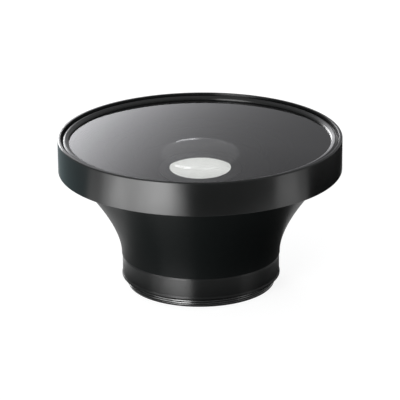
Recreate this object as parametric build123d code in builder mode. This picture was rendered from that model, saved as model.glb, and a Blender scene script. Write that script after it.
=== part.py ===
"""Wide-angle conversion lens, standing on its mounting thread with the front glass up.

The origin is the centre of the thread's end face, +Z runs along the optical axis to the front.
All sizes are in millimetres. Every piece is turned, so each one is a half section turned about Z.
"""

from build123d import *
from math import sqrt
import os

os.makedirs("parts", exist_ok=True)


def sag(curve_r, r):
    """Height of a spherical surface above its vertex, at radius r."""
    return curve_r - sqrt(curve_r**2 - r**2)


# Whole lens
rim_r = 52.5  # front rim, outside
rim_h = 12.5  # height of the front rim's band
flare_h = 33.0  # height from the mount ring's top to the rim
seat_gap = 0.05  # left where a flat seat meets a curved glass surface
thread_gap = 0.05  # radial play in each pair of threads

# Mounting thread, M55 x 0.75, and the ring that carries it
thread_r = 27.5
thread_h = 3.1
thread_end_chamfer = 0.2
relief_w = 0.4  # run-out groove between thread and shoulder
relief_depth = 0.6
mount_shoulder = 2.0  # how far the ring stands out past the thread
mount_ring_h = 8.05
mount_bead_h = 0.45  # raised bead at the ring's foot
mount_bead_slope_h = 0.5  # from the bead in to the plain body
mount_body_inset = 0.25  # how far the body lies inside the bead
mount_top_slope_h = 0.65
mount_top_inset = 0.25  # how far the top edge leans in past the body
mount_edge = 0.12  # rounding of the bead's foot
thread_wall = 2.9

# Joint between mount ring and barrel
spigot_wall = 2.3
mount_floor_h = 1.2  # from the shoulder of the thread to the barrel's spigot

# Neck and flare of the barrel
neck_groove_w = 0.25
neck_groove_depth = 0.3
flare_start_handle = 10.5  # how far the curve follows the neck before it opens
flare_wall = 3.7
flare_handle_drop = 1.5  # below the back of the front element
chamber_wall = 2.5  # at the foot of the open chamber
barrel_web_h = 2.4  # flange inside the neck that stops the rear cell

# Front rim
rim_edge = 0.65
rim_mouth_edge = 0.15
rim_foot_edge = 0.2
rim_mouth_h = 2.15  # plain bore behind the lip
rim_mouth_wall = 1.15
rim_thread_step = 0.1  # from the plain bore in to the thread
rim_thread_h = 2.0
rim_sleeve_wall = 2.4
rim_foot_h = 1.05  # lip under the barrel's flange
rim_foot_reach = 4.7

# Barrel head
head_gap = 0.1  # between rim and barrel head
seat_drop = 6.05  # from the front of the rim down to the ledge of the front glass

# Front element: almost flat front, deeply hollowed back
front_curve_r = 675.0
front_apex_drop = 0.1  # below the front of the rim
front_centre_t = 4.5
front_bevel = 0.3
front_ledge = 2.4  # width of the shoulder that sits on the barrel
hollow_r = 32.0
hollow_depth = 16.0
back_land = 2.5  # ground ring round the hollow
glass_gap = 0.6  # between the ground cone and the barrel
cushion_t = 0.4  # soft ring between the glass and its seat
cushion_w = 1.4

# Front retaining ring
ring_skirt_w = 1.7
ring_skirt_gap = 0.2  # between the skirt and the edge of the glass
ring_skirt_h = 1.45  # below the ring's shoulder
ring_shoulder_drop = 2.15
ring_top_drop = 0.72
ring_groove_w = 0.6  # open groove between ring and lip
ring_top_w = 1.1
ring_slope_drop = 1.1  # below the front of the rim, where the slope ends
ring_bite = 1.0  # how far the ring reaches over the glass
ring_nose_w = 0.2  # lean of the steep face over the glass
ring_nose_h = 0.12
ring_edge = 0.22  # rounding of the crest

# Rear cell and its cemented pair
cell_gap = 0.1  # between the cell and the bores round it
cell_floor = 1.2  # cell's end above the thread's end
cell_wall = 2.6
lens_gap = 0.1
rear_vertex_h = 3.9
flint_centre_t = 3.0
crown_edge_t = 1.25
crown_front_r = 62.0
cement_r = 62.0
rear_back_r = 320.0
rear_lip = 1.2  # shoulder that the crown rests against
stop_reach = 3.55  # how far the stop reaches in past the clear bore
stop_gap = 0.8
stop_lip_h = 1.3
stop_edge_h = 0.25
nose_step = 1.6
nose_drop = 4.3  # from the stop down to the cell's shoulder
rear_ring_t = 2.2
rear_ring_w = 1.2
spanner_slot_w = 1.6
spanner_slot_depth = 0.9

# Light baffle
baffle_wall = 1.0
baffle_gap = 0.3
baffle_foot_w = 2.4
baffle_foot_h = 1.0
baffle_top_drop = 1.2
ridge_count = 9
ridge_depth = 0.7

# Heights worked out from the sizes above
shoulder_z = thread_h + relief_w
mount_top_z = shoulder_z + mount_ring_h
rim_z = mount_top_z + flare_h
front_z = rim_z + rim_h
seat_z = front_z - seat_drop
apex_z = front_z - front_apex_drop
hollow_top_z = apex_z - front_centre_t
back_z = hollow_top_z - hollow_depth
hollow_curve_r = (hollow_r**2 + hollow_depth**2) / (2 * hollow_depth)

# Radii worked out from the sizes above
mount_r = thread_r + mount_shoulder
mount_body_r = mount_r - mount_body_inset
mount_bore_r = thread_r - thread_wall
neck_r = mount_r
cell_r = mount_bore_r - cell_gap
spigot_r = mount_bore_r + spigot_wall
head_r = rim_r - rim_sleeve_wall - head_gap
foot_r = rim_r - rim_foot_reach
mouth_r = rim_r - rim_mouth_wall
rim_thread_r = mouth_r - rim_thread_step
ring_r = rim_thread_r - thread_gap
skirt_in_r = ring_r - ring_skirt_w
front_glass_r = skirt_in_r - ring_skirt_gap
ledge_r = front_glass_r - front_ledge
back_r = hollow_r + back_land
lens_bore_r = cell_r - cell_wall
lens_r = lens_bore_r - lens_gap
rear_clear_r = lens_r - rear_lip
stop_r = rear_clear_r - stop_reach

# The cemented pair, worked out from its back surface to its front
cement_z = rear_vertex_h + flint_centre_t
crown_centre_t = sag(cement_r, lens_r) + crown_edge_t + sag(crown_front_r, lens_r)
crown_z = cement_z + crown_centre_t
stop_z = crown_z + stop_gap
cell_top_z = stop_z + stop_lip_h
web_z = cell_top_z - nose_drop
web_top_z = web_z + barrel_web_h


# Mount ring: male thread, run-out groove, bead and plain body, turned in one piece
with BuildPart() as mount_ring:
    with BuildSketch(Plane.XZ):
        Polygon(
            (mount_bore_r, 0),
            (thread_r, 0),
            (thread_r, thread_h),
            (thread_r - relief_depth, thread_h),
            (thread_r - relief_depth, shoulder_z),
            (mount_r, shoulder_z),
            (mount_r, shoulder_z + mount_bead_h),
            (mount_body_r, shoulder_z + mount_bead_h + mount_bead_slope_h),
            (mount_body_r, mount_top_z - mount_top_slope_h),
            (mount_body_r - mount_top_inset, mount_top_z),
            (spigot_r + thread_gap, mount_top_z),
            (spigot_r + thread_gap, shoulder_z + mount_floor_h),
            (mount_bore_r, shoulder_z + mount_floor_h),
            align=None,
        )
    revolve(axis=Axis.Z)
    outer_rings = mount_ring.edges().filter_by(GeomType.CIRCLE)
    thread_ends = outer_rings.filter_by(lambda e: abs(e.radius - thread_r) < 0.01).sort_by(Axis.Z)
    chamfer(thread_ends[0], thread_end_chamfer)
    bead_edges = outer_rings.filter_by(lambda e: abs(e.radius - mount_r) < 0.01).sort_by(Axis.Z)
    fillet(bead_edges[0], mount_edge)

# Flared barrel: neck, trumpet curve, head with the glass seat, and the web that stops the cell
nose_r = cell_r - nose_step
chamber_foot_r = neck_r - chamber_wall
throat_r = back_r + glass_gap
with BuildPart() as flared_barrel:
    with BuildSketch(Plane.XZ):
        with BuildLine():
            groove_r = neck_r - neck_groove_depth
            neck = Polyline(
                (spigot_r, shoulder_z + mount_floor_h),
                (spigot_r, mount_top_z),
                (groove_r, mount_top_z),
                (groove_r, mount_top_z + neck_groove_w / 2),
                (neck_r, mount_top_z + neck_groove_w),
            )
            flare = Bezier(
                neck @ 1,
                (neck_r, mount_top_z + flare_start_handle),
                (throat_r + flare_wall, back_z - flare_handle_drop),
                (foot_r - head_gap, rim_z),
            )
            Polyline(
                flare @ 1,
                (foot_r - head_gap, rim_z + rim_foot_h),
                (head_r, rim_z + rim_foot_h),
                (head_r, seat_z - cushion_t),
                (ledge_r + glass_gap, seat_z - cushion_t),
                (throat_r, back_z - glass_gap),
                (chamber_foot_r, web_top_z),
                (nose_r + cell_gap, web_top_z),
                (nose_r + cell_gap, web_z),
                (cell_r + cell_gap, web_z),
                (cell_r + cell_gap, shoulder_z + mount_floor_h),
                neck @ 0,
            )
        make_face()
    revolve(axis=Axis.Z)

# Front rim: slipped up over the neck, its foot hooks under the barrel head
with BuildPart() as front_rim:
    with BuildSketch(Plane.XZ):
        Polygon(
            (foot_r, rim_z),
            (rim_r, rim_z),
            (rim_r, front_z),
            (mouth_r, front_z),
            (mouth_r, front_z - rim_mouth_h),
            (rim_thread_r, front_z - rim_mouth_h),
            (rim_thread_r, front_z - rim_mouth_h - rim_thread_h),
            (head_r + head_gap, front_z - rim_mouth_h - rim_thread_h),
            (head_r + head_gap, rim_z + rim_foot_h),
            (foot_r, rim_z + rim_foot_h),
            align=None,
        )
    revolve(axis=Axis.Z)
    lip_edges = front_rim.edges().filter_by(GeomType.CIRCLE).group_by(Axis.Z)[-1].sort_by(SortBy.RADIUS)
    fillet(lip_edges[-1], rim_edge)
    chamfer(lip_edges[0], rim_mouth_edge)
    foot_edges = front_rim.edges().filter_by(GeomType.CIRCLE).group_by(Axis.Z)[0].sort_by(SortBy.RADIUS)
    fillet(foot_edges[-1], rim_foot_edge)

# Front element: spherical front and hollow, with a ledge and a ground cone round the back
with BuildPart() as front_element:
    edge_z = apex_z - sag(front_curve_r, front_glass_r)
    with BuildSketch(Plane.XZ):
        with BuildLine():
            mid_front_r = front_glass_r / 2
            front_face = ThreePointArc(
                (0, apex_z),
                (mid_front_r, apex_z - sag(front_curve_r, mid_front_r)),
                (front_glass_r, edge_z),
            )
            body = Polyline(
                front_face @ 1,
                (front_glass_r, seat_z),
                (ledge_r, seat_z),
                (back_r, back_z),
                (hollow_r, back_z),
            )
            hollow = ThreePointArc(
                body @ 1,
                (hollow_r / 2, hollow_top_z - sag(hollow_curve_r, hollow_r / 2)),
                (0, hollow_top_z),
            )
            Line(hollow @ 1, front_face @ 0)
        make_face()
    revolve(axis=Axis.Z)
    front_edges = front_element.edges().filter_by(lambda e: abs(e.center().Z - edge_z) < 0.01)
    chamfer(front_edges.sort_by(SortBy.RADIUS)[-1], front_bevel)

# Cushion ring: thin soft washer between the glass and the metal seat
with BuildPart() as cushion_ring:
    with BuildSketch(Plane.XY.offset(seat_z - cushion_t)):
        Circle(front_glass_r)
        Circle(front_glass_r - cushion_w, mode=Mode.SUBTRACT)
    extrude(amount=cushion_t)

# Front retaining ring: skirt threaded into the rim, sloped nose that presses on the glass
shoulder_r = mouth_r - ring_groove_w
crest_r = shoulder_r - ring_top_w
nose_in_r = front_glass_r - ring_bite
nose_z = apex_z - sag(front_curve_r, nose_in_r) + seat_gap
with BuildPart() as front_retaining_ring:
    with BuildSketch(Plane.XZ):
        Polygon(
            (nose_in_r, nose_z),
            (skirt_in_r, nose_z),
            (skirt_in_r, front_z - ring_shoulder_drop - ring_skirt_h),
            (ring_r, front_z - ring_shoulder_drop - ring_skirt_h),
            (ring_r, front_z - ring_shoulder_drop),
            (shoulder_r, front_z - ring_shoulder_drop),
            (shoulder_r, front_z - ring_top_drop),
            (crest_r, front_z - ring_top_drop),
            (nose_in_r + ring_nose_w, front_z - ring_slope_drop),
            (nose_in_r, nose_z + ring_nose_h),
            align=None,
        )
    revolve(axis=Axis.Z)
    crest_edges = front_retaining_ring.edges().filter_by(GeomType.CIRCLE).group_by(Axis.Z)[-1]
    fillet(crest_edges, ring_edge)

# Crown lens: front of the cemented pair
with BuildPart() as rear_crown_lens:
    with BuildSketch(Plane.XZ):
        with BuildLine():
            crown_back = ThreePointArc(
                (0, cement_z),
                (lens_r / 2, cement_z + sag(cement_r, lens_r / 2)),
                (lens_r, cement_z + sag(cement_r, lens_r)),
            )
            crown_edge = Line(crown_back @ 1, (lens_r, crown_z - sag(crown_front_r, lens_r)))
            crown_front = ThreePointArc(
                crown_edge @ 1,
                (lens_r / 2, crown_z - sag(crown_front_r, lens_r / 2)),
                (0, crown_z),
            )
            Line(crown_front @ 1, crown_back @ 0)
        make_face()
    revolve(axis=Axis.Z)

# Flint lens: back of the pair, cemented face to face with the crown
with BuildPart() as rear_flint_lens:
    with BuildSketch(Plane.XZ):
        with BuildLine():
            flint_front = ThreePointArc(
                (0, cement_z),
                (lens_r / 2, cement_z + sag(cement_r, lens_r / 2)),
                (lens_r, cement_z + sag(cement_r, lens_r)),
            )
            flint_edge = Line(flint_front @ 1, (lens_r, rear_vertex_h + sag(rear_back_r, lens_r)))
            flint_back = ThreePointArc(
                flint_edge @ 1,
                (lens_r / 2, rear_vertex_h + sag(rear_back_r, lens_r / 2)),
                (0, rear_vertex_h),
            )
            Line(flint_back @ 1, flint_front @ 0)
        make_face()
    revolve(axis=Axis.Z)

# Rear cell: bored from the back for the pair, with the sharp-edged stop at its front
rest_z = crown_z - sag(crown_front_r, rear_clear_r) + seat_gap
with BuildPart() as rear_cell:
    with BuildSketch(Plane.XZ):
        Polygon(
            (lens_bore_r, cell_floor),
            (cell_r, cell_floor),
            (cell_r, web_z),
            (nose_r, web_z),
            (nose_r, cell_top_z),
            (stop_r + stop_lip_h, cell_top_z),
            (stop_r, stop_z + stop_edge_h),
            (stop_r, stop_z),
            (rear_clear_r, stop_z),
            (rear_clear_r, rest_z),
            (lens_bore_r, rest_z),
            align=None,
        )
    revolve(axis=Axis.Z)

# Rear retaining ring: holds the pair from the back, with two slots for a spanner
rear_ring_r = lens_bore_r - thread_gap
rear_ring_in_r = rear_ring_r - rear_ring_w
rear_ring_z = rear_vertex_h + sag(rear_back_r, rear_ring_in_r) - seat_gap
with BuildPart() as rear_retaining_ring:
    with BuildSketch(Plane.XZ):
        Polygon(
            (rear_ring_in_r, rear_ring_z - rear_ring_t),
            (rear_ring_r, rear_ring_z - rear_ring_t),
            (rear_ring_r, rear_ring_z),
            (rear_ring_in_r, rear_ring_z),
            align=None,
        )
    revolve(axis=Axis.Z)
    with BuildSketch(Plane.XY.offset(rear_ring_z - rear_ring_t)):
        Rectangle(2 * rear_ring_r + 2, spanner_slot_w)
    extrude(amount=spanner_slot_depth, mode=Mode.SUBTRACT)

# Light baffle: black cone between the glasses, cut into steps that trap stray light
baffle_foot_r = chamber_foot_r - baffle_gap
baffle_top_r = throat_r - baffle_gap - (throat_r - chamber_foot_r) * baffle_top_drop / (back_z - web_top_z)
baffle_top_z = back_z - glass_gap - baffle_top_drop
ridge_h = (baffle_top_z - web_top_z - baffle_foot_h) / ridge_count
ridge_widening = (baffle_top_r - baffle_foot_r) / ridge_count
inner_foot_r = baffle_foot_r - baffle_wall
ridge_points = []
for i in range(ridge_count):
    ridge_z = web_top_z + baffle_foot_h + i * ridge_h
    ridge_r = inner_foot_r + i * ridge_widening
    ridge_points.append((ridge_r - ridge_depth, ridge_z))
    ridge_points.append((ridge_r + ridge_widening, ridge_z + ridge_h * 0.8))
with BuildPart() as light_baffle:
    with BuildSketch(Plane.XZ):
        Polygon(
            (baffle_foot_r - baffle_foot_w, web_top_z),
            (baffle_foot_r, web_top_z),
            (baffle_top_r, baffle_top_z),
            (baffle_top_r - baffle_wall, baffle_top_z),
            *reversed(ridge_points),
            (baffle_foot_r - baffle_foot_w, web_top_z + baffle_foot_h),
            align=None,
        )
    revolve(axis=Axis.Z)

pieces = {
    "mount_ring": mount_ring,
    "flared_barrel": flared_barrel,
    "front_rim": front_rim,
    "front_element": front_element,
    "cushion_ring": cushion_ring,
    "front_retaining_ring": front_retaining_ring,
    "rear_crown_lens": rear_crown_lens,
    "rear_flint_lens": rear_flint_lens,
    "rear_cell": rear_cell,
    "rear_retaining_ring": rear_retaining_ring,
    "light_baffle": light_baffle,
}
for name, piece in pieces.items():
    piece.part.label = name
    export_step(piece.part, f"parts/{name}.step")
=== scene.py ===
"""Wide-angle conversion lens in its finishes, standing on its thread on a pale studio floor.

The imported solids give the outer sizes. Each piece is turned again here as a fine, smooth
surface with its small edge roundings, so that glass and satin metal reflect cleanly.
"""

import bpy
import numpy as np
from math import atan2, cos, pi, radians, sin, sqrt
from mathutils import Matrix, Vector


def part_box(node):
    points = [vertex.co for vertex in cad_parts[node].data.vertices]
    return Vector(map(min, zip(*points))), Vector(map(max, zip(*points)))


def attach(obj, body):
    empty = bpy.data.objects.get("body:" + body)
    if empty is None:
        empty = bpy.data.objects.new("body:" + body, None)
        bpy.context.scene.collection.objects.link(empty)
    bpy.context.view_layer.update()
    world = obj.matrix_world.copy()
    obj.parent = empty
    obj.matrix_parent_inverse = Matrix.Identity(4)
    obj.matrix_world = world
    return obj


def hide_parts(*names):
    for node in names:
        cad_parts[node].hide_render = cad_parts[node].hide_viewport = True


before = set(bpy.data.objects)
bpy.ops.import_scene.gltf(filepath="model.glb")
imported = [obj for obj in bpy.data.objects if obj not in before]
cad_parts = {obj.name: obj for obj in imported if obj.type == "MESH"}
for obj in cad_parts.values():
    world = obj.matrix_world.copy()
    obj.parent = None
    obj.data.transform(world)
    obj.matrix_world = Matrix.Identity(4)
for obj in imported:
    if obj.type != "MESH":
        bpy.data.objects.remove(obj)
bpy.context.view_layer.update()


# Mount ring: aluminium, turned in one piece and black anodised. From below it has the male
# thread that screws into a camera lens, a run-out groove, a bead and the plain ring. Use has
# burnished the thread, so its crests glint.

MM = 0.001
HAIR = 0.02  # mm, tells a face from its neighbours


def extent(name):
    """A turned solid's outer radius, lowest height and highest height, in mm."""
    low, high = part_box(name)
    return high[0] / MM, low[2] / MM, high[2] / MM


def rounded(*corners, steps=5):
    """Open run of an outline with its corners rounded.

    Each corner is (radius, height, rounding). The arc that touches both sides has its centre
    on the bisector, at rounding / sin(half angle). The first and last corner stay sharp.
    """
    points = np.array([c[:2] for c in corners], float)
    run = [points[:1]]
    for here, before, after, corner in zip(points[1:-1], points[:-2], points[2:], corners[1:-1]):
        to_before = (before - here) / np.linalg.norm(before - here)
        to_after = (after - here) / np.linalg.norm(after - here)
        half = np.arccos(np.clip(to_before @ to_after, -1, 1)) / 2
        bisector = (to_before + to_after) / np.linalg.norm(to_before + to_after)
        rounding = corner[2]
        centre = here + bisector * rounding / sin(half)
        start = to_before * rounding / np.tan(half) - bisector * rounding / sin(half)
        end = to_after * rounding / np.tan(half) - bisector * rounding / sin(half)
        first = atan2(start[1], start[0])
        sweep = (atan2(end[1], end[0]) - first + pi) % (2 * pi) - pi
        angle = first + sweep * np.linspace(0, 1, steps)
        arc = centre + rounding * np.stack([np.cos(angle), np.sin(angle)], axis=1)
        run.append(arc if rounding else here[None])
    return np.concatenate([*run, points[-1:]])


def turned(name, outline, shape=None, steps=360, sharp=30):
    """Solid of revolution from an outline of (radius, height) in mm, anticlockwise.

    Grid point (i, j) is outline point i turned by angle j about Z. An outline that starts and
    ends on the axis has one point at each pole, and any other outline closes on itself.
    shape(r, z, turn) may move the radii and heights of the grid.
    """
    poled = outline[0, 0] == 0
    ring = outline[1:-1] if poled else outline
    turn = np.linspace(0, 2 * pi, steps, endpoint=False)[None]
    r = np.repeat(ring[:, :1], steps, axis=1)
    z = np.repeat(ring[:, 1:], steps, axis=1)
    if shape:
        r, z = shape(r, z, turn)
    points = np.stack([r * np.cos(turn), r * np.sin(turn), z], axis=2).reshape(-1, 3)
    rows = len(ring) - 1 if poled else len(ring)
    i = np.arange(rows)[:, None]
    j = np.arange(steps)[None]
    i2 = (i + 1) % len(ring)
    j2 = (j + 1) % steps
    quads = np.stack([i * steps + j, i * steps + j2, i2 * steps + j2, i2 * steps + j], axis=2)
    faces = quads.reshape(-1, 4).tolist()
    if poled:
        low, high, last = len(points), len(points) + 1, (len(ring) - 1) * steps
        points = np.concatenate([points, [(0, 0, outline[0, 1]), (0, 0, outline[-1, 1])]])
        faces += np.stack([np.full(steps, low), j2[0], j[0]], axis=1).tolist()
        faces += np.stack([np.full(steps, high), last + j[0], last + j2[0]], axis=1).tolist()
    mesh = bpy.data.meshes.new(name)
    mesh.from_pydata((points * MM).tolist(), [], faces)
    mesh.polygons.foreach_set("use_smooth", np.ones(len(mesh.polygons), bool))
    mesh.set_sharp_from_angle(angle=radians(sharp))
    piece = bpy.data.objects.new(name, mesh)
    bpy.context.collection.objects.link(piece)
    return piece


def linear(hex_colour):
    """sRGB hex colour, such as "1a1b1c", as linear RGBA."""
    rgb = np.array([int(hex_colour[k : k + 2], 16) for k in (0, 2, 4)]) / 255
    value = np.where(rgb <= 0.04045, rgb / 12.92, ((rgb + 0.055) / 1.055) ** 2.4)
    return (*value.tolist(), 1.0)


def node(tree, kind, settings=(), links=(), **values):
    """Adds a shader node with its settings, incoming links and socket values."""
    new = tree.nodes.new(kind)
    for key, value in dict(settings).items():
        setattr(new, key, value)
    for key, source in dict(links).items():
        tree.links.new(source, new.inputs[key])
    for key, value in values.items():
        new.inputs[key.replace("_", " ")].default_value = value
    return new


def new_material(name):
    """Empty node material, its tree and its output node."""
    material = bpy.data.materials.new(name)
    material.use_nodes = True
    material.node_tree.nodes.clear()
    return material, material.node_tree, material.node_tree.nodes.new("ShaderNodeOutputMaterial")


def anodised_aluminium(name, colour, roughness, stretch, gloss, lathe_mm):
    """Black anodised turned aluminium.

    The dyed oxide is nearly black with a satin sheen. Its lathe marks run round the axis, so
    light spreads across them, and pits from the etch bath break the sheen up. The spread
    follows the profile: its direction is the cross product of the way round and the normal.
    Real marks are about 0.05 mm apart and the pits as small, too fine to show, so both are
    drawn about ten times coarser.
    """
    cloud_mm, pit_mm, relief_mm = 12, 0.4, 0.01
    material, tree, output = new_material(name)
    place = node(tree, "ShaderNodeTexCoord").outputs["Object"]
    clouds = node(tree, "ShaderNodeTexNoise", links={"Vector": place}, Scale=1 / (cloud_mm * MM))
    pits = node(tree, "ShaderNodeTexNoise", links={"Vector": place}, Scale=1 / (pit_mm * MM))
    marks = node(
        tree,
        "ShaderNodeTexWave",
        {"bands_direction": "Z"},
        {"Vector": place},
        Scale=2 * pi / (20 * lathe_mm * MM),  # a wave texture has 20 bands in 2 pi
        Distortion=1.0,
        Detail=2.0,
    )
    sheen = node(
        tree,
        "ShaderNodeMapRange",
        links={"Value": clouds.outputs["Fac"]},
        From_Min=0.3,
        From_Max=0.7,
        To_Min=roughness - 0.015,
        To_Max=roughness + 0.02,
    )
    grooves = node(
        tree,
        "ShaderNodeBump",
        links={"Height": marks.outputs["Fac"]},
        Strength=0.3,
        Distance=relief_mm * MM,
    )
    pitted = node(
        tree,
        "ShaderNodeBump",
        links={"Height": pits.outputs["Fac"], "Normal": grooves.outputs["Normal"]},
        Strength=0.3,
        Distance=relief_mm * MM,
    )
    around = node(tree, "ShaderNodeVectorMath", {"operation": "CROSS_PRODUCT"}, {1: place})
    around.inputs[0].default_value = (0, 0, 1)
    facing = node(tree, "ShaderNodeNewGeometry").outputs["Normal"]
    across = node(
        tree,
        "ShaderNodeVectorMath",
        {"operation": "CROSS_PRODUCT"},
        {0: around.outputs["Vector"], 1: facing},
    )
    metal = node(
        tree,
        "ShaderNodeBsdfPrincipled",
        links={
            "Roughness": sheen.outputs["Result"],
            "Normal": pitted.outputs["Normal"],
            "Tangent": across.outputs["Vector"],
        },
        Base_Color=linear(colour),
        Anisotropic=stretch,
        Specular_IOR_Level=gloss,
    )
    tree.links.new(metal.outputs["BSDF"], output.inputs["Surface"])
    return material


def paint_faces(piece, slot, chosen):
    """Gives a material slot to the faces whose centre (radius, height) in mm is chosen."""
    centres = np.empty(len(piece.data.polygons) * 3)
    piece.data.polygons.foreach_get("center", centres)
    x, y, z = centres.reshape(-1, 3).T / MM
    slots = np.empty(len(piece.data.polygons), np.int32)
    piece.data.polygons.foreach_get("material_index", slots)
    slots[chosen(np.hypot(x, y), z)] = slot
    piece.data.polygons.foreach_set("material_index", slots)


MOUNT_R, _, MOUNT_TOP_Z = extent("mount_ring")
THREAD_R = 27.5
THREAD_H = 3.1
THREAD_PITCH = 0.75
THREAD_FORM = ((0, 0.45, 0.72, 1), (0, 0.11, 0.42, 0))
THREAD_CHAMFER = 0.2
THREAD_RUN_IN = 0.6
THREAD_RUN_OUT = 0.3
THREAD_ROWS = 60
GROOVE_R = 26.9
SHOULDER_Z = 3.5
BEAD_H = 0.45
BEAD_SLOPE_H = 0.5
BEAD_EDGE = 0.12
BEAD_TOP_EDGE = 0.1
BODY_R = 29.25
BODY_EDGE = 0.2
TOP_SLOPE_H = 0.65
TOP_INSET = 0.25
TOP_EDGE = 0.05
MOUNT_BORE_R = 24.6
BORE_CHAMFER = 0.2
SPIGOT_R = 26.95
SPIGOT_Z = extent("flared_barrel")[1]


def thread_turns(r, z, turn):
    """Right-hand thread: with u = height / pitch - turn, the cut follows the thread's form over
    each whole u, a slightly leaning crest and then the V groove. It fades out at both ends."""
    u = (z / THREAD_PITCH - turn / (2 * pi)) % 1
    fade = np.clip(z / THREAD_RUN_IN, 0, 1) * np.clip((THREAD_H - z) / THREAD_RUN_OUT, 0, 1)
    cut = np.interp(u, *THREAD_FORM) * fade
    return np.where((r > THREAD_R - HAIR) & (z < THREAD_H + HAIR), r - cut, r), z


thread_z = np.linspace(THREAD_CHAMFER, THREAD_H, THREAD_ROWS)
mount_outline = np.concatenate(
    [
        [(MOUNT_BORE_R, BORE_CHAMFER), (MOUNT_BORE_R + BORE_CHAMFER, 0)],
        [(THREAD_R - THREAD_CHAMFER, 0)],
        np.stack([np.full(THREAD_ROWS, THREAD_R), thread_z], axis=1),
        rounded(
            (GROOVE_R, THREAD_H, 0),
            (GROOVE_R, SHOULDER_Z, 0),
            (MOUNT_R, SHOULDER_Z, BEAD_EDGE),
            (MOUNT_R, SHOULDER_Z + BEAD_H, BEAD_TOP_EDGE),
            (BODY_R, SHOULDER_Z + BEAD_H + BEAD_SLOPE_H, BODY_EDGE),
            (BODY_R, MOUNT_TOP_Z - TOP_SLOPE_H, BODY_EDGE),
            (BODY_R - TOP_INSET, MOUNT_TOP_Z, TOP_EDGE),
            (SPIGOT_R, MOUNT_TOP_Z, 0),
            (SPIGOT_R, SPIGOT_Z, 0),
            (MOUNT_BORE_R, SPIGOT_Z, 0),
        ),
    ]
)
mount_ring = turned("mount_ring_turned", mount_outline, thread_turns, steps=512)
etched_black = anodised_aluminium(
    "etched_black_anodised_aluminium",
    "060707",
    roughness=0.33,
    stretch=0.9,
    gloss=0.4,
    lathe_mm=0.45,
)
burnished_black = anodised_aluminium(
    "burnished_black_thread",
    "060707",
    roughness=0.25,
    stretch=0.6,
    gloss=0.85,
    lathe_mm=0.45,
)
mount_ring.data.materials.append(etched_black)
mount_ring.data.materials.append(burnished_black)
paint_faces(mount_ring, 1, lambda r, z: (r > GROOVE_R + HAIR) & (z < THREAD_H))
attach(mount_ring, "root")
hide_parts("mount_ring")


# Flared barrel: the trumpet-shaped body, turned from aluminium bar. Its neck screws into the
# mount ring, its head carries the front glass, and it is bead blasted and black anodised.

HEAD_R, _, HEAD_Z = extent("flared_barrel")
RIM_R, RIM_Z, FRONT_Z = extent("front_rim")
NECK_R = MOUNT_R
NECK_GROOVE_W = 0.25
NECK_GROOVE_DEPTH = 0.3
FLARE_END_R = 47.7
FLARE_NECK_HANDLE = 10.5
FLARE_THROAT_R = 38.8
FLARE_THROAT_Z = 34.95
FLARE_STEPS = 64
SPIGOT_PLAY = 0.05
RIM_FOOT_H = 1.05
BARREL_BORE_R = 24.6
WEB_R = 23.0
WEB_H = 2.4
CHAMBER_FOOT_R = 27.0
THROAT_R = 35.1
THROAT_Z = 35.85
SEAT_IN_R = 47.5


def bezier(start, start_handle, end_handle, end, steps):
    """Cubic curve: the four points weighed by the cubic Bernstein polynomials of t."""
    t = np.linspace(0, 1, steps)[:, None]
    weights = ((1 - t) ** 3, 3 * t * (1 - t) ** 2, 3 * t**2 * (1 - t), t**3)
    return sum(w * np.array(p) for w, p in zip(weights, (start, start_handle, end_handle, end)))


web_top_z = extent("light_baffle")[1]
flare = bezier(
    (NECK_R, MOUNT_TOP_Z + NECK_GROOVE_W),
    (NECK_R, MOUNT_TOP_Z + FLARE_NECK_HANDLE),
    (FLARE_THROAT_R, FLARE_THROAT_Z),
    (FLARE_END_R, RIM_Z),
    FLARE_STEPS,
)
barrel_outline = np.concatenate(
    [
        [(BARREL_BORE_R, SPIGOT_Z), (SPIGOT_R - SPIGOT_PLAY, SPIGOT_Z)],
        [(SPIGOT_R - SPIGOT_PLAY, MOUNT_TOP_Z), (NECK_R - NECK_GROOVE_DEPTH, MOUNT_TOP_Z)],
        [(NECK_R - NECK_GROOVE_DEPTH, MOUNT_TOP_Z + NECK_GROOVE_W / 2)],
        flare,
        [(FLARE_END_R, RIM_Z + RIM_FOOT_H), (HEAD_R, RIM_Z + RIM_FOOT_H)],
        [(HEAD_R, HEAD_Z), (SEAT_IN_R, HEAD_Z), (THROAT_R, THROAT_Z)],
        [(CHAMBER_FOOT_R, web_top_z), (WEB_R, web_top_z)],
        [(WEB_R, web_top_z - WEB_H), (BARREL_BORE_R, web_top_z - WEB_H)],
    ]
)
barrel = turned("flared_barrel_turned", barrel_outline)
blasted_black = anodised_aluminium(
    "blasted_black_anodised_aluminium",
    "0b0d0d",
    roughness=0.38,
    stretch=0.3,
    gloss=0.05,
    lathe_mm=0.6,
)
barrel.data.materials.append(blasted_black)
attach(barrel, "root")
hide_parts("flared_barrel")


# Rear cell: sleeve of turned, black anodised aluminium that slides in from the back and carries
# the cemented pair. Its front lip is the stop that bounds the bright disc seen in the glass.

CELL_R, CELL_Z, CELL_TOP_Z = extent("rear_cell")
LENS_R, PAIR_CEMENT_Z, CROWN_Z = extent("rear_crown_lens")
LENS_BORE_R = 21.9
CLEAR_R = 20.6
STOP_R = 17.05
STOP_LIP_H = 1.3
STOP_LAND_H = 0.25
STOP_EDGE = 0.05
NOSE_R = 22.9
NOSE_H = 4.3
REST_Z = 12.59
CELL_EDGE = 0.1
CELL_FOOT_EDGE = 0.2

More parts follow.
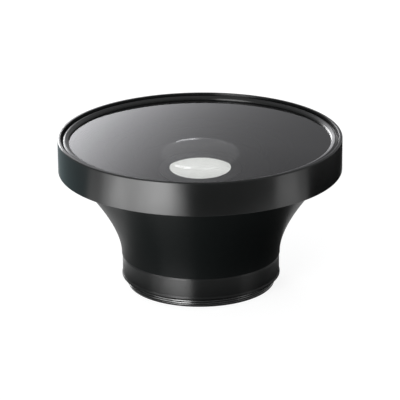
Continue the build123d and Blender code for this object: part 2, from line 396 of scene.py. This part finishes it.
cell_outline = rounded(
    (LENS_BORE_R, REST_Z, 0),
    (LENS_BORE_R, CELL_Z, CELL_EDGE),
    (CELL_R, CELL_Z, CELL_FOOT_EDGE),
    (CELL_R, CELL_TOP_Z - NOSE_H, CELL_EDGE),
    (NOSE_R, CELL_TOP_Z - NOSE_H, CELL_EDGE),
    (NOSE_R, CELL_TOP_Z, CELL_EDGE),
    (STOP_R + STOP_LIP_H, CELL_TOP_Z, STOP_EDGE),
    (STOP_R, CELL_TOP_Z - STOP_LIP_H + STOP_LAND_H, 0),
    (STOP_R, CELL_TOP_Z - STOP_LIP_H, 0),
    (CLEAR_R, CELL_TOP_Z - STOP_LIP_H, 0),
    (CLEAR_R, REST_Z, 0),
)
rear_cell = turned("rear_cell_turned", cell_outline)
satin_black = anodised_aluminium(
    "satin_black_anodised_aluminium",
    "060707",
    roughness=0.3,
    stretch=0.8,
    gloss=0.5,
    lathe_mm=0.45,
)
rear_cell.data.materials.append(satin_black)
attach(rear_cell, "root")
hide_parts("rear_cell")


# Rear pair: a crown and a flint lens, ground and polished to matching curves and cemented
# face to face. Both are clear coated glass, and their edges are blackened with ink.

CROWN_FRONT_CURVE = 62.0
CEMENT_CURVE = 62.0
REAR_BACK_CURVE = 320.0
CEMENT_H = 0.004
FLINT_Z = extent("rear_flint_lens")[1]
LENS_STEPS = 40


def cap(curve_r, vertex_z, r, way, steps=LENS_STEPS):
    """Spherical surface from its vertex out to radius r. Its height leaves the vertex by
    curve_r - sqrt(curve_r^2 - r^2), up for way 1 and down for way -1."""
    across = np.linspace(0, r, steps)
    return np.stack([across, vertex_z + way * (curve_r - np.sqrt(curve_r**2 - across**2))], axis=1)


def polished_glass(name, colour, ior):
    """Polished and coated optical glass.

    It is clear, with a mirror-smooth surface, and shows what lies behind it bent by its index.
    Lamp light passes straight through it, so that what lies behind it is lit.
    """
    material, tree, output = new_material(name)
    glass = node(
        tree,
        "ShaderNodeBsdfPrincipled",
        Base_Color=linear(colour),
        Roughness=0.0,
        IOR=ior,
        Transmission_Weight=1.0,
    )
    clear = node(tree, "ShaderNodeBsdfTransparent", Color=linear(colour))
    rays = node(tree, "ShaderNodeLightPath")
    mixed = node(
        tree,
        "ShaderNodeMixShader",
        links={
            0: rays.outputs["Is Shadow Ray"],
            1: glass.outputs["BSDF"],
            2: clear.outputs["BSDF"],
        },
    )
    tree.links.new(mixed.outputs["Shader"], output.inputs["Surface"])
    return material


rear_glass = polished_glass("coated_rear_glass", "fefffd", 1.52)


def edge_ink(name, light, dark):
    """Indian ink or lacquer on ground glass.

    It has the glass's own index, so it swallows light without a gloss. The brush leaves it a
    little uneven, which shows as slow changes of tone.
    """
    material, tree, output = new_material(name)
    place = node(tree, "ShaderNodeTexCoord").outputs["Object"]
    brushed = node(tree, "ShaderNodeTexNoise", links={"Vector": place}, Scale=1 / (6 * MM))
    tone = node(
        tree,
        "ShaderNodeMix",
        {"data_type": "RGBA"},
        {"Factor": brushed.outputs["Fac"]},
    )
    tone.inputs[6].default_value = linear(dark)
    tone.inputs[7].default_value = linear(light)
    ink = node(
        tree,
        "ShaderNodeBsdfPrincipled",
        links={"Base Color": tone.outputs[2]},
        Roughness=0.8,
        Specular_IOR_Level=0.0,
    )
    tree.links.new(ink.outputs["BSDF"], output.inputs["Surface"])
    return material


lens_edge_black = edge_ink("lens_edge_ink", "0a0a0a", "040404")
crown_outline = np.concatenate(
    [
        cap(CEMENT_CURVE, PAIR_CEMENT_Z, LENS_R, 1),
        cap(CROWN_FRONT_CURVE, CROWN_Z, LENS_R, -1)[::-1],
    ]
)
crown = turned("rear_crown_lens_polished", crown_outline, steps=256)
flint_outline = np.concatenate(
    [
        cap(REAR_BACK_CURVE, FLINT_Z, LENS_R, 1),
        cap(CEMENT_CURVE, PAIR_CEMENT_Z - CEMENT_H, LENS_R, 1)[::-1],
    ]
)
flint = turned("rear_flint_lens_polished", flint_outline, steps=256)
for lens, solid in ((crown, "rear_crown_lens"), (flint, "rear_flint_lens")):
    lens.data.materials.append(rear_glass)
    lens.data.materials.append(lens_edge_black)
    paint_faces(lens, 1, lambda r, z: r > LENS_R - HAIR)
    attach(lens, "root")
    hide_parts(solid)


# Rear retaining ring: thin threaded ring of the same black aluminium, screwed in behind the
# pair to hold it in its cell. Two slots across its face take a spanner.

RING_R, RING_Z, RING_TOP_Z = extent("rear_retaining_ring")
RING_IN_R = 20.65
RING_EDGE = 0.15
RING_OUT_EDGE = 0.1
SLOT_W = 1.6
SLOT_DEPTH = 0.9


def spanner_slots(r, z, turn):
    """Slots along X: where the radius times the sine of the turn is under half the slot's
    width, the bottom face is raised by the slot's depth."""
    in_slot = (np.abs(r * np.sin(turn)) < SLOT_W / 2) & (z < RING_Z + 2 * RING_EDGE)
    return r, np.where(in_slot, z + SLOT_DEPTH, z)


rear_ring_outline = rounded(
    (RING_IN_R, RING_TOP_Z, 0),
    (RING_IN_R, RING_Z, RING_EDGE),
    (RING_R, RING_Z, RING_OUT_EDGE),
    (RING_R, RING_TOP_Z, 0),
)
rear_ring = turned("rear_retaining_ring_turned", rear_ring_outline, spanner_slots, steps=720)
rear_ring.data.materials.append(satin_black)
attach(rear_ring, "root")
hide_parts("rear_retaining_ring")


# Light baffle: thin cone between the glasses, cut into nine saw-tooth steps and painted dead
# black, so that stray light is trapped before it reaches the rear glass.

BAFFLE_TOP_R, BAFFLE_Z, BAFFLE_TOP_Z = extent("light_baffle")
BAFFLE_FOOT_R = 26.7
BAFFLE_FOOT_W = 2.4
BAFFLE_FOOT_H = 1.0
BAFFLE_WALL = 1.0
RIDGES = 9
RIDGE_DEPTH = 0.7
RIDGE_RISE = 0.8  # share of a ridge's height that its slope takes


def matt_black(name, colour, roughness):
    """Matt black: carbon-black paint sprayed over machined metal, or moulded nylon.

    It has almost no gloss, and a fine orange peel from the spray or grain from the mould.
    """
    material, tree, output = new_material(name)
    place = node(tree, "ShaderNodeTexCoord").outputs["Object"]
    spray = node(tree, "ShaderNodeTexNoise", links={"Vector": place}, Scale=1 / (0.3 * MM))
    peel = node(
        tree,
        "ShaderNodeBump",
        links={"Height": spray.outputs["Fac"]},
        Strength=0.4,
        Distance=0.02 * MM,
    )
    tone = node(
        tree,
        "ShaderNodeMapRange",
        links={"Value": spray.outputs["Fac"]},
        To_Min=roughness - 0.08,
        To_Max=roughness + 0.08,
    )
    paint = node(
        tree,
        "ShaderNodeBsdfPrincipled",
        links={"Normal": peel.outputs["Normal"], "Roughness": tone.outputs["Result"]},
        Base_Color=linear(colour),
        Specular_IOR_Level=0.3,
    )
    tree.links.new(paint.outputs["BSDF"], output.inputs["Surface"])
    return material


ridge = np.arange(RIDGES)
ridge_h = (BAFFLE_TOP_Z - BAFFLE_Z - BAFFLE_FOOT_H) / RIDGES
ridge_out = (BAFFLE_TOP_R - BAFFLE_FOOT_R) / RIDGES
ridge_z = BAFFLE_Z + BAFFLE_FOOT_H + ridge * ridge_h
ridge_r = BAFFLE_FOOT_R - BAFFLE_WALL + ridge * ridge_out
slope_top_z = ridge_z + RIDGE_RISE * ridge_h
teeth = np.stack([ridge_r - RIDGE_DEPTH, ridge_z, ridge_r + ridge_out, slope_top_z], axis=1)
baffle_outline = np.concatenate(
    [
        [(BAFFLE_FOOT_R - BAFFLE_FOOT_W, BAFFLE_Z), (BAFFLE_FOOT_R, BAFFLE_Z)],
        [(BAFFLE_TOP_R, BAFFLE_TOP_Z), (BAFFLE_TOP_R - BAFFLE_WALL, BAFFLE_TOP_Z)],
        teeth.reshape(-1, 2)[::-1],
        [(BAFFLE_FOOT_R - BAFFLE_FOOT_W, BAFFLE_Z + BAFFLE_FOOT_H)],
    ]
)
baffle = turned("light_baffle_turned", baffle_outline)
baffle.data.materials.append(matt_black("matt_black_baffle_paint", "0a0a0a", 0.75))
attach(baffle, "root")
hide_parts("light_baffle")


# Front element: a thick negative lens of dense glass. Its front is almost flat, its back is a
# deep polished hollow, and the ground cone round the hollow is blackened with ink.

GLASS_R, BACK_Z, APEX_Z = extent("front_element")
FRONT_CURVE = 675.0
HOLLOW_CURVE = 40.0
HOLLOW_R = 32.0
CENTRE_H = 4.5
HOLLOW_TOP_Z = APEX_Z - CENTRE_H
BACK_R = 34.5
LEDGE_R = 46.9
CUSHION_H = 0.4
LEDGE_Z = HEAD_Z + CUSHION_H
GLASS_BEVEL = 0.3
CAP_STEPS = 120

edge_z = APEX_Z - FRONT_CURVE + sqrt(FRONT_CURVE**2 - GLASS_R**2)
front_outline = np.concatenate(
    [
        cap(HOLLOW_CURVE, HOLLOW_TOP_Z, HOLLOW_R, -1, CAP_STEPS),
        [(BACK_R, BACK_Z), (LEDGE_R, LEDGE_Z)],
        [(GLASS_R, LEDGE_Z), (GLASS_R, edge_z - GLASS_BEVEL)],
        cap(FRONT_CURVE, APEX_Z, GLASS_R - GLASS_BEVEL, -1, CAP_STEPS)[::-1],
    ]
)
front_element = turned("front_element_polished", front_outline)
front_glass = polished_glass("coated_front_glass", "ffffff", 1.62)
front_element.data.materials.append(front_glass)
front_element.data.materials.append(lens_edge_black)


def ground_faces(r, z):
    """All but the hollow and the front: the land, the cone, the ledge, the edge and the bevel."""
    hollow_z = HOLLOW_TOP_Z - HOLLOW_CURVE + np.sqrt(np.maximum(HOLLOW_CURVE**2 - r**2, 0))
    on_hollow = (r < HOLLOW_R - HAIR) & (np.abs(z - hollow_z) < HAIR)
    on_front = (r < GLASS_R - GLASS_BEVEL) & (z > edge_z)
    return ~(on_hollow | on_front)


paint_faces(front_element, 1, ground_faces)
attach(front_element, "root")
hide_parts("front_element")


# Cushion ring: thin washer, moulded from black nylon, that keeps the front glass off its metal
# seat. Its outline starts part-way up the inner side, so that all four corners are rounded.

CUSHION_R, CUSHION_Z, CUSHION_TOP_Z = extent("cushion_ring")
CUSHION_W = 1.4
CUSHION_EDGE = 0.08
START_DROP = 0.2
END_DROP = 0.15

cushion_outline = rounded(
    (CUSHION_R - CUSHION_W, CUSHION_TOP_Z - START_DROP, 0),
    (CUSHION_R - CUSHION_W, CUSHION_Z, CUSHION_EDGE),
    (CUSHION_R, CUSHION_Z, CUSHION_EDGE),
    (CUSHION_R, CUSHION_TOP_Z, CUSHION_EDGE),
    (CUSHION_R - CUSHION_W, CUSHION_TOP_Z, CUSHION_EDGE),
    (CUSHION_R - CUSHION_W, CUSHION_TOP_Z - END_DROP, 0),
)
cushion = turned("cushion_ring_moulded", cushion_outline)
cushion.data.materials.append(matt_black("black_nylon", "101010", 0.55))
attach(cushion, "root")
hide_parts("cushion_ring")


# Front rim: the broad band round the front, turned from aluminium tube and black anodised.
# It slips up over the neck, and its foot hooks under the barrel's head.

RIM_EDGE = 0.5
MOUTH_EDGE = 0.12
FOOT_EDGE = 0.2
FOOT_IN_EDGE = 0.05
MOUTH_R = 51.35
MOUTH_H = 2.15
RIM_THREAD_R = 51.25
RIM_THREAD_H = 2.0
SLEEVE_PLAY = 0.1
SLEEVE_R = HEAD_R + SLEEVE_PLAY
FOOT_R = 47.8

rim_outline = rounded(
    (FOOT_R, RIM_Z + RIM_FOOT_H, 0),
    (FOOT_R, RIM_Z, FOOT_IN_EDGE),
    (RIM_R, RIM_Z, FOOT_EDGE),
    (RIM_R, FRONT_Z, RIM_EDGE),
    (MOUTH_R, FRONT_Z, MOUTH_EDGE),
    (MOUTH_R, FRONT_Z - MOUTH_H, 0),
    (RIM_THREAD_R, FRONT_Z - MOUTH_H, 0),
    (RIM_THREAD_R, FRONT_Z - MOUTH_H - RIM_THREAD_H, 0),
    (SLEEVE_R, FRONT_Z - MOUTH_H - RIM_THREAD_H, 0),
    (SLEEVE_R, RIM_Z + RIM_FOOT_H, 0),
    steps=7,
)
front_rim = turned("front_rim_turned", rim_outline, steps=512)
front_rim.data.materials.append(satin_black)
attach(front_rim, "root")
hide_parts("front_rim")


# Front retaining ring: turned from aluminium and screwed into the rim behind the lip, it
# presses on the edge of the front glass. Its rounded crest and its slope show inside the lip.

RING_OUT_R, SKIRT_Z, CREST_Z = extent("front_retaining_ring")
SKIRT_IN_R = 49.5
RING_STEP_R = 50.75
RING_STEP_Z = FRONT_Z - MOUTH_H
CREST_IN_R = 49.65
SLOPE_END_R = 48.5
SLOPE_END_DEPTH = 1.1
SLOPE_END_Z = FRONT_Z - SLOPE_END_DEPTH
RING_NOSE_R = 48.3
RING_NOSE_H = 0.12
GLASS_PLAY = 0.05
CREST_OUT_EDGE = 0.8
CREST_IN_EDGE = 0.15
SLOPE_EDGE = 0.35

nose_z = APEX_Z - FRONT_CURVE + sqrt(FRONT_CURVE**2 - RING_NOSE_R**2) + GLASS_PLAY
ring_outline = rounded(
    (RING_NOSE_R, nose_z, 0),
    (SKIRT_IN_R, nose_z, 0),
    (SKIRT_IN_R, SKIRT_Z, 0),
    (RING_OUT_R, SKIRT_Z, 0),
    (RING_OUT_R, RING_STEP_Z, 0),
    (RING_STEP_R, RING_STEP_Z, 0),
    (RING_STEP_R, CREST_Z, CREST_OUT_EDGE),
    (CREST_IN_R, CREST_Z, CREST_IN_EDGE),
    (SLOPE_END_R, SLOPE_END_Z, SLOPE_EDGE),
    (RING_NOSE_R, nose_z + RING_NOSE_H, 0),
)
front_ring = turned("front_retaining_ring_turned", ring_outline, steps=512)
front_ring.data.materials.append(satin_black)
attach(front_ring, "root")
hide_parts("front_retaining_ring")


# Floor: pale seamless table of white laminate. Camera, mirror and glass rays see it near white,
# and part of that is real lamp light, so the lens keeps its soft shadow.

FLOOR_SIZE = 6.0
FLOOR_GLOW = 0.85
FLOOR_LIT = 0.31


def flat(name, corners):
    """One quad from its four corners in metres, as a stage piece."""
    mesh = bpy.data.meshes.new(name)
    mesh.from_pydata(corners, [], [(0, 1, 2, 3)])
    piece = bpy.data.objects.new(name, mesh)
    bpy.context.collection.objects.link(piece)
    return piece


def table_white():
    """White laminate: a plain diffuse white, with the glow that the camera, mirror
    reflections and glass see added to it."""
    material, tree, output = new_material("white_table")
    rays = node(tree, "ShaderNodeLightPath")
    camera_or_mirror = node(
        tree,
        "ShaderNodeMath",
        {"operation": "MAXIMUM"},
        {0: rays.outputs["Is Camera Ray"], 1: rays.outputs["Is Glossy Ray"]},
    )
    seen = node(
        tree,
        "ShaderNodeMath",
        {"operation": "MAXIMUM"},
        {0: camera_or_mirror.outputs["Value"], 1: rays.outputs["Is Transmission Ray"]},
    )
    plain = node(tree, "ShaderNodeBsdfDiffuse", Color=linear("e8e8e8"))
    lit = node(tree, "ShaderNodeBsdfDiffuse", Color=(FLOOR_LIT, FLOOR_LIT, FLOOR_LIT, 1))
    glow = node(tree, "ShaderNodeEmission", Color=(1, 1, 1, 1), Strength=FLOOR_GLOW)
    both = node(
        tree, "ShaderNodeAddShader", links={0: lit.outputs["BSDF"], 1: glow.outputs["Emission"]}
    )
    mixed = node(
        tree,
        "ShaderNodeMixShader",
        links={0: seen.outputs["Value"], 1: plain.outputs["BSDF"], 2: both.outputs["Shader"]},
    )
    tree.links.new(mixed.outputs["Shader"], output.inputs["Surface"])
    return material


half = FLOOR_SIZE / 2
floor = flat("floor", [(-half, -half, 0), (half, -half, 0), (half, half, 0), (-half, half, 0)])
floor.data.materials.append(table_white())


# Felt cards on the table: black in front and at the right, grey at the left. They keep the white
# table out of the dark parts of the metal. A black ring round the foot is painted shade: it stands
# for the table's shade under the rim, as the metal mirrors it. The camera doesn't see them, they
# cast no shadow, and the ring doesn't show through the glass either.

FRONT_CARD = (-0.05, -0.6, 0.3, -0.1)
LEFT_CARD = (-0.5, -0.005, -0.08, 0.4)
RIGHT_CARD = (0.08, -0.02, 0.5, 0.4)
CARD_Z = 0.001
FOOT_SHADE_IN_R = 0.0285
FOOT_SHADE_OUT_R = 0.0495
FOOT_SHADE_RIGHT = 0.007
FOOT_SHADE_FRONT = 0.004


def felt(name, colour):
    """Plain felt: a soft nap that doesn't shine."""
    material, tree, output = new_material(name)
    nap = node(tree, "ShaderNodeBsdfDiffuse", Color=linear(colour))
    tree.links.new(nap.outputs["BSDF"], output.inputs["Surface"])
    return material


def foot_ring(name, r_in, r_out, right, front, steps=96):
    """Flat ring on the table. Point k of each circle is the radius times (cos, sin) of the angle
    2 pi k / steps, and the outer circle is then shifted to the right and to the front."""
    turn = np.linspace(0, 2 * pi, steps, endpoint=False)
    circle = np.stack([np.cos(turn), np.sin(turn), 0 * turn], axis=1)
    rims = [circle * r_in + (0, 0, CARD_Z), circle * r_out + (right, -front, CARD_Z)]
    k = np.arange(steps)
    faces = np.stack([k, k + steps, (k + 1) % steps + steps, (k + 1) % steps], axis=1)
    mesh = bpy.data.meshes.new(name)
    mesh.from_pydata(np.concatenate(rims).tolist(), [], faces.tolist())
    piece = bpy.data.objects.new(name, mesh)
    bpy.context.collection.objects.link(piece)
    return piece


black_felt_and_shade = felt("black_felt_and_shade", "101010")
# Painted shade: only mirror rays see this black ring, which stands for the table's shade under the
# rim round the foot.
foot_shade_card = foot_ring(
    "foot_shade_card", FOOT_SHADE_IN_R, FOOT_SHADE_OUT_R, FOOT_SHADE_RIGHT, FOOT_SHADE_FRONT
)
foot_shade_card.data.materials.append(black_felt_and_shade)
foot_shade_card.visible_camera = False
foot_shade_card.visible_transmission = False
foot_shade_card.visible_diffuse = False
foot_shade_card.visible_shadow = False
grey_felt = felt("grey_felt", "8ca2a6")
cards = (
    ("front_card", FRONT_CARD, black_felt_and_shade),
    ("left_card", LEFT_CARD, grey_felt),
    ("right_card", RIGHT_CARD, black_felt_and_shade),
)
for name, (x0, y0, x1, y1), cloth in cards:
    card = flat(name, [(x0, y0, CARD_Z), (x1, y0, CARD_Z), (x1, y1, CARD_Z), (x0, y1, CARD_Z)])
    card.data.materials.append(cloth)
    card.visible_camera = False
    card.visible_diffuse = False
    card.visible_shadow = False


# Backdrop behind the lens: a lit paper that falls from bright at the left to grey at the
# right, and to dark above. The front glass mirrors a small part of it, which is the grey ramp
# on the glass, and the hollow mirrors it again as a thin arc.

BACKDROP_Y = 1.2
BACKDROP_LEFT = -0.9
BACKDROP_RIGHT = 0.6
BACKDROP_H = 1.4
RAMP_BASE = 0.3
RAMP_BASE_LOW = 0.19
BASE_FROM = 0.25
BASE_TO = 0.5
RAMP_STEP = 0.84
RAMP_LENGTH = 0.087
RAMP_RISE = 0.5
RAMP_MOST = 2.5
RAMP_LEAST = 0.3
FADE_FROM = 0.58
FADE_TO = 0.8


def ramp_paper():
    """Paper with a graded light on it. Emission = base + step * exp(-x / length - z / rise),
    held under a limit that falls with height from the most to the least. The base itself grows
    a little with height."""
    material, tree, output = new_material("lit_paper_ramp")
    place = node(tree, "ShaderNodeTexCoord").outputs["Object"]
    split = node(tree, "ShaderNodeSeparateXYZ", links={"Vector": place})
    scaled = node(tree, "ShaderNodeVectorMath", {"operation": "DOT_PRODUCT"}, {0: place})
    scaled.inputs[1].default_value = (-1 / RAMP_LENGTH, 0, -1 / RAMP_RISE)
    grown = node(tree, "ShaderNodeMath", {"operation": "EXPONENT"}, {0: scaled.outputs["Value"]})
    base = node(
        tree,
        "ShaderNodeMapRange",
        links={"Value": split.outputs["Z"]},
        From_Min=BASE_FROM,
        From_Max=BASE_TO,
        To_Min=RAMP_BASE_LOW,
        To_Max=RAMP_BASE,
    )
    level = node(
        tree,
        "ShaderNodeMath",
        {"operation": "MULTIPLY_ADD"},
        {0: grown.outputs["Value"], 2: base.outputs["Result"]},
    )
    level.inputs[1].default_value = RAMP_STEP
    limit = node(
        tree,
        "ShaderNodeMapRange",
        links={"Value": split.outputs["Z"]},
        From_Min=FADE_FROM,
        From_Max=FADE_TO,
        To_Min=RAMP_MOST,
        To_Max=RAMP_LEAST,
    )
    held = node(
        tree,
        "ShaderNodeMath",
        {"operation": "MINIMUM"},
        {0: level.outputs["Value"], 1: limit.outputs["Result"]},
    )
    light = node(
        tree,
        "ShaderNodeEmission",
        links={"Strength": held.outputs["Value"]},
        Color=(0.985, 0.985, 1.02, 1),
    )
    tree.links.new(light.outputs["Emission"], output.inputs["Surface"])
    return material


backdrop = flat(
    "backdrop",
    [
        (BACKDROP_RIGHT, BACKDROP_Y, 0.0),
        (BACKDROP_LEFT, BACKDROP_Y, 0.0),
        (BACKDROP_LEFT, BACKDROP_Y, BACKDROP_H),
        (BACKDROP_RIGHT, BACKDROP_Y, BACKDROP_H),
    ],
)
backdrop.data.materials.append(ramp_paper())


# Lamps: a softbox at the front left and a strip behind at the left. Low light panels lean back
# from the table edge. Five of them make the long highlight on the left of the band, and four of
# those overlap, so that it grows to one side. A small one lights the foot, a weak one the right.

LOW_NEAR = (0.115, 0.002)
LOW_FAR = (0.25, 0.09)
LAMPS = (  # name, azimuth, near edge, far edge, width, radiance
    ("softbox_front_left", -30, (0.8, 0.13), (0.78, 0.36), 0.38, 7.8),
    ("foot_panel_left", -25.5, (0.044, 0.0012), (0.062, 0.005), 0.028, 3.7),
    ("strip_back_left", -155, (0.9, 0.08), (0.9, 0.33), 0.44, 9.0),
    ("low_panel_left_wide", -37, LOW_NEAR, LOW_FAR, 0.133, 4.6),
    ("low_panel_left_half", -33.5, LOW_NEAR, LOW_FAR, 0.097, 1.1),
    ("low_panel_left_core", -29, LOW_NEAR, LOW_FAR, 0.06, 1.3),
    ("low_panel_left_peak", -26.5, LOW_NEAR, LOW_FAR, 0.034, 1.3),
    ("low_panel_left_end", -61, LOW_NEAR, LOW_FAR, 0.045, 2.0),
    ("low_panel_right", 62, (0.13, 0.002), (0.25, 0.055), 0.05, 1.4),
)
AIR_COLOUR = (0.98, 1.0, 1.0, 1)
AIR_LEVEL = 0.5


def light_panel(name, azimuth, near, far, width, radiance):
    """Rectangular area lamp that faces the lens. Azimuth is counted from the camera's side, right
    positive. The lower and upper edges are at near and far, each (distance from the axis,
    height) in metres, and the power is pi * area * radiance."""
    near, far = np.array(near), np.array(far)
    data = bpy.data.lights.new(name, "AREA")
    data.shape = "RECTANGLE"
    data.size = width
    data.size_y = float(np.linalg.norm(far - near))
    data.energy = pi * data.size * data.size_y * radiance
    lamp = bpy.data.objects.new(name, data)
    lamp.visible_camera = False
    turn = radians(azimuth)
    outward = np.array([sin(turn), -cos(turn), 0])
    across = np.array([cos(turn), sin(turn), 0])
    rise = (far - near) / np.linalg.norm(far - near)
    up = outward * rise[0] + np.array([0, 0, rise[1]])
    away = np.cross(across, up)
    place = outward * (near + far)[0] / 2 + np.array([0, 0, (near + far)[1] / 2])
    axes = np.stack([across, up, away], axis=1)
    lamp.matrix_world = Matrix([(*row, shift) for row, shift in zip(axes, place)] + [(0, 0, 0, 1)])
    bpy.context.collection.objects.link(lamp)
    return lamp


lamps = {name: light_panel(name, *values) for name, *values in LAMPS}
lamps["strip_back_left"].visible_transmission = False  # the real glints in the glass are faint

world = bpy.data.worlds.new("studio_air")
world.use_nodes = True
air = world.node_tree.nodes["Background"]
air.inputs["Color"].default_value = AIR_COLOUR
air.inputs["Strength"].default_value = AIR_LEVEL
bpy.context.scene.world = world


# Camera: a long lens a metre away, 20 degrees above the table, as measured from the ellipses
# of the rim and the thread in the photograph. Its slight roll is the photograph's.

PICTURE = 400  # pixels across the photograph
FOCAL_PX = 2775.2
CAMERA_DISTANCE = 1.03097
CAMERA_ELEVATION = 19.926
CAMERA_ROLL = 0.4725
AIM = (-0.00017, 0.0, 0.03175)
SENSOR = 36.0
GLASS_BOUNCES = 24
ALL_BOUNCES = 32

elevation, roll = radians(CAMERA_ELEVATION), radians(CAMERA_ROLL)
right = np.array([1.0, 0, 0])
upward = np.array([0, sin(elevation), cos(elevation)])
backward = np.array([0, -cos(elevation), sin(elevation)])
turned_right = cos(roll) * right - sin(roll) * upward
turned_up = sin(roll) * right + cos(roll) * upward
eye = np.array(AIM) + backward * CAMERA_DISTANCE
camera_data = bpy.data.cameras.new("camera")
camera_data.sensor_width = SENSOR
camera_data.lens = SENSOR * FOCAL_PX / PICTURE
camera = bpy.data.objects.new("camera", camera_data)
axes = np.stack([turned_right, turned_up, backward], axis=1)
camera.matrix_world = Matrix([(*row, at) for row, at in zip(axes, eye)] + [(0, 0, 0, 1)])
bpy.context.collection.objects.link(camera)
scene = bpy.context.scene
scene.camera = camera
scene.view_settings.view_transform = "Standard"
scene.cycles.transmission_bounces = GLASS_BOUNCES
scene.cycles.max_bounces = ALL_BOUNCES
scene.cycles.transparent_max_bounces = GLASS_BOUNCES
